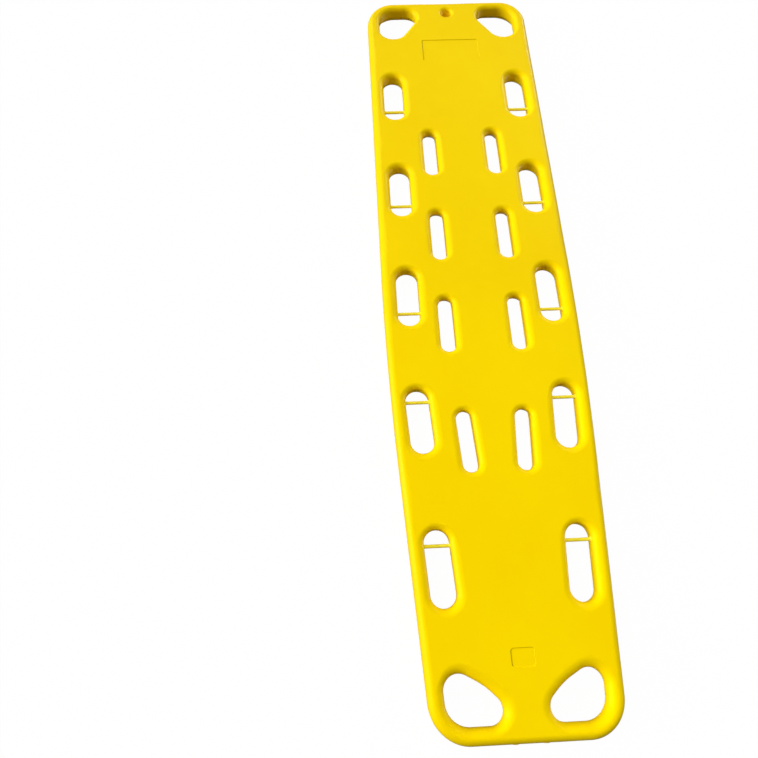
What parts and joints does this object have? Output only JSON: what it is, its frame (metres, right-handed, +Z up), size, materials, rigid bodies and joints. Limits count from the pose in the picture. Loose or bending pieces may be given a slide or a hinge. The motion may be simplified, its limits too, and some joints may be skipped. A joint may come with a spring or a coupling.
{
  "type": "spine board",
  "caption": "Long spine board: foam-filled moulded hull tapering to the foot, with rail grips, strap slots, corner grips, a hanging hole and strap pins.",
  "frame": {"origin": "centre of the board's length and width on the resting plane of the underside", "axes": "+X across the board to the right as seen from above with the head away, +Y towards the head end, +Z up through the deck"},
  "size_m": [0.445, 1.84, 0.045],
  "materials": {
    "hull_plastic": "satin moulded polyethylene",
    "core_foam": "rigid polyurethane foam",
    "rod_composite": "pultruded glass fibre",
    "pin_plastic": "smooth nylon",
    "plug_plastic": "satin moulded polyethylene"
  },
  "bodies": {
    "root": {"deck_shell": "hull_plastic", "foam_core": "core_foam", "stiffening_rod_left": "rod_composite", "stiffening_rod_right": "rod_composite", "strap_pin_left_1": "pin_plastic", "strap_pin_left_2": "pin_plastic", "strap_pin_left_3": "pin_plastic", "strap_pin_left_4": "pin_plastic", "strap_pin_left_5": "pin_plastic", "strap_pin_right_1": "pin_plastic", "strap_pin_right_2": "pin_plastic", "strap_pin_right_3": "pin_plastic", "strap_pin_right_4": "pin_plastic", "strap_pin_right_5": "pin_plastic", "rod_port_plug_left": "plug_plastic", "rod_port_plug_right": "plug_plastic", "foam_fill_plug": "plug_plastic", "foam_vent_plug": "plug_plastic"}
  },
  "joints": []
}
